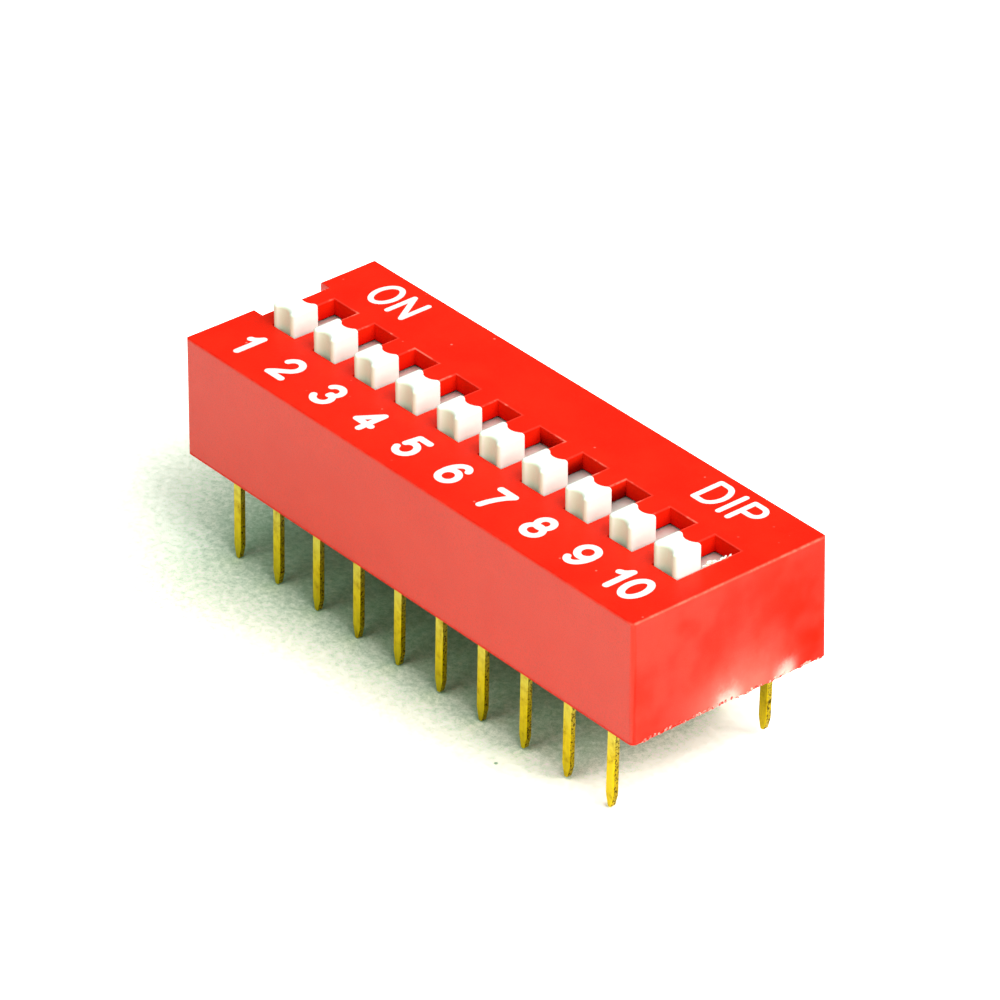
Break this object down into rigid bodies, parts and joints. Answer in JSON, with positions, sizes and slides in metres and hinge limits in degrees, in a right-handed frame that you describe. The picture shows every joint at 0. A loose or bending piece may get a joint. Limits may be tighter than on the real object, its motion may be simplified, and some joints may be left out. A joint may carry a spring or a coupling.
{
  "type": "dip switch",
  "caption": "Red dual in-line slide switch block with ivory actuator posts in slots, two rows of gold leads below and a small notch in the top edge of the position 1 end.",
  "frame": {"origin": "midway between the two rows of leads and between the first and last position, at the height of the lead tips", "axes": "+X along the row from position 1 to the last position, +Y from the OFF side to the ON side, +Z out of the top face"},
  "size_m": [0.0272, 0.0096, 0.0107],
  "materials": {
    "cover_plastic": "satin, moulded, vivid red",
    "base_plastic": "satin, moulded, darker red",
    "sealing_resin": "cast resin, dark red-brown",
    "actuator_plastic": "satin, moulded, ivory",
    "lead_metal": "gold flash on copper alloy, slightly dulled",
    "contact_metal": "gold-plated spring alloy, bright"
  },
  "bodies": {
    "housing": {"cover": "cover_plastic", "base": "base_plastic", "base_seal": "sealing_resin", "front_terminal_1": "lead_metal", "front_terminal_2": "lead_metal", "front_terminal_3": "lead_metal", "front_terminal_4": "lead_metal", "front_terminal_5": "lead_metal", "front_terminal_6": "lead_metal", "front_terminal_7": "lead_metal", "front_terminal_8": "lead_metal", "front_terminal_9": "lead_metal", "front_terminal_10": "lead_metal", "rear_terminal_1": "lead_metal", "rear_terminal_2": "lead_metal", "rear_terminal_3": "lead_metal", "rear_terminal_4": "lead_metal", "rear_terminal_5": "lead_metal", "rear_terminal_6": "lead_metal", "rear_terminal_7": "lead_metal", "rear_terminal_8": "lead_metal", "rear_terminal_9": "lead_metal", "rear_terminal_10": "lead_metal"},
    "slider_1": {"actuator_1": "actuator_plastic", "moving_contact_1": "contact_metal"},
    "slider_2": {"actuator_2": "actuator_plastic", "moving_contact_2": "contact_metal"},
    "slider_3": {"actuator_3": "actuator_plastic", "moving_contact_3": "contact_metal"},
    "slider_4": {"actuator_4": "actuator_plastic", "moving_contact_4": "contact_metal"},
    "slider_5": {"actuator_5": "actuator_plastic", "moving_contact_5": "contact_metal"},
    "slider_6": {"actuator_6": "actuator_plastic", "moving_contact_6": "contact_metal"},
    "slider_7": {"actuator_7": "actuator_plastic", "moving_contact_7": "contact_metal"},
    "slider_8": {"actuator_8": "actuator_plastic", "moving_contact_8": "contact_metal"},
    "slider_9": {"actuator_9": "actuator_plastic", "moving_contact_9": "contact_metal"},
    "slider_10": {"actuator_10": "actuator_plastic", "moving_contact_10": "contact_metal"}
  },
  "joints": [
    {"name": "slide_1", "type": "slide", "parent": "housing", "child": "slider_1", "axis": [0, 1, 0], "range_m": [0, 0.00176]},
    {"name": "slide_2", "type": "slide", "parent": "housing", "child": "slider_2", "axis": [0, 1, 0], "range_m": [0, 0.00176]},
    {"name": "slide_3", "type": "slide", "parent": "housing", "child": "slider_3", "axis": [0, 1, 0], "range_m": [0, 0.00176]},
    {"name": "slide_4", "type": "slide", "parent": "housing", "child": "slider_4", "axis": [0, 1, 0], "range_m": [0, 0.00176]},
    {"name": "slide_5", "type": "slide", "parent": "housing", "child": "slider_5", "axis": [0, 1, 0], "range_m": [0, 0.00176]},
    {"name": "slide_6", "type": "slide", "parent": "housing", "child": "slider_6", "axis": [0, 1, 0], "range_m": [0, 0.00176]},
    {"name": "slide_7", "type": "slide", "parent": "housing", "child": "slider_7", "axis": [0, 1, 0], "range_m": [0, 0.00176]},
    {"name": "slide_8", "type": "slide", "parent": "housing", "child": "slider_8", "axis": [0, 1, 0], "range_m": [0, 0.00176]},
    {"name": "slide_9", "type": "slide", "parent": "housing", "child": "slider_9", "axis": [0, 1, 0], "range_m": [0, 0.00176]},
    {"name": "slide_10", "type": "slide", "parent": "housing", "child": "slider_10", "axis": [0, 1, 0], "range_m": [0, 0.00176]}
  ]
}
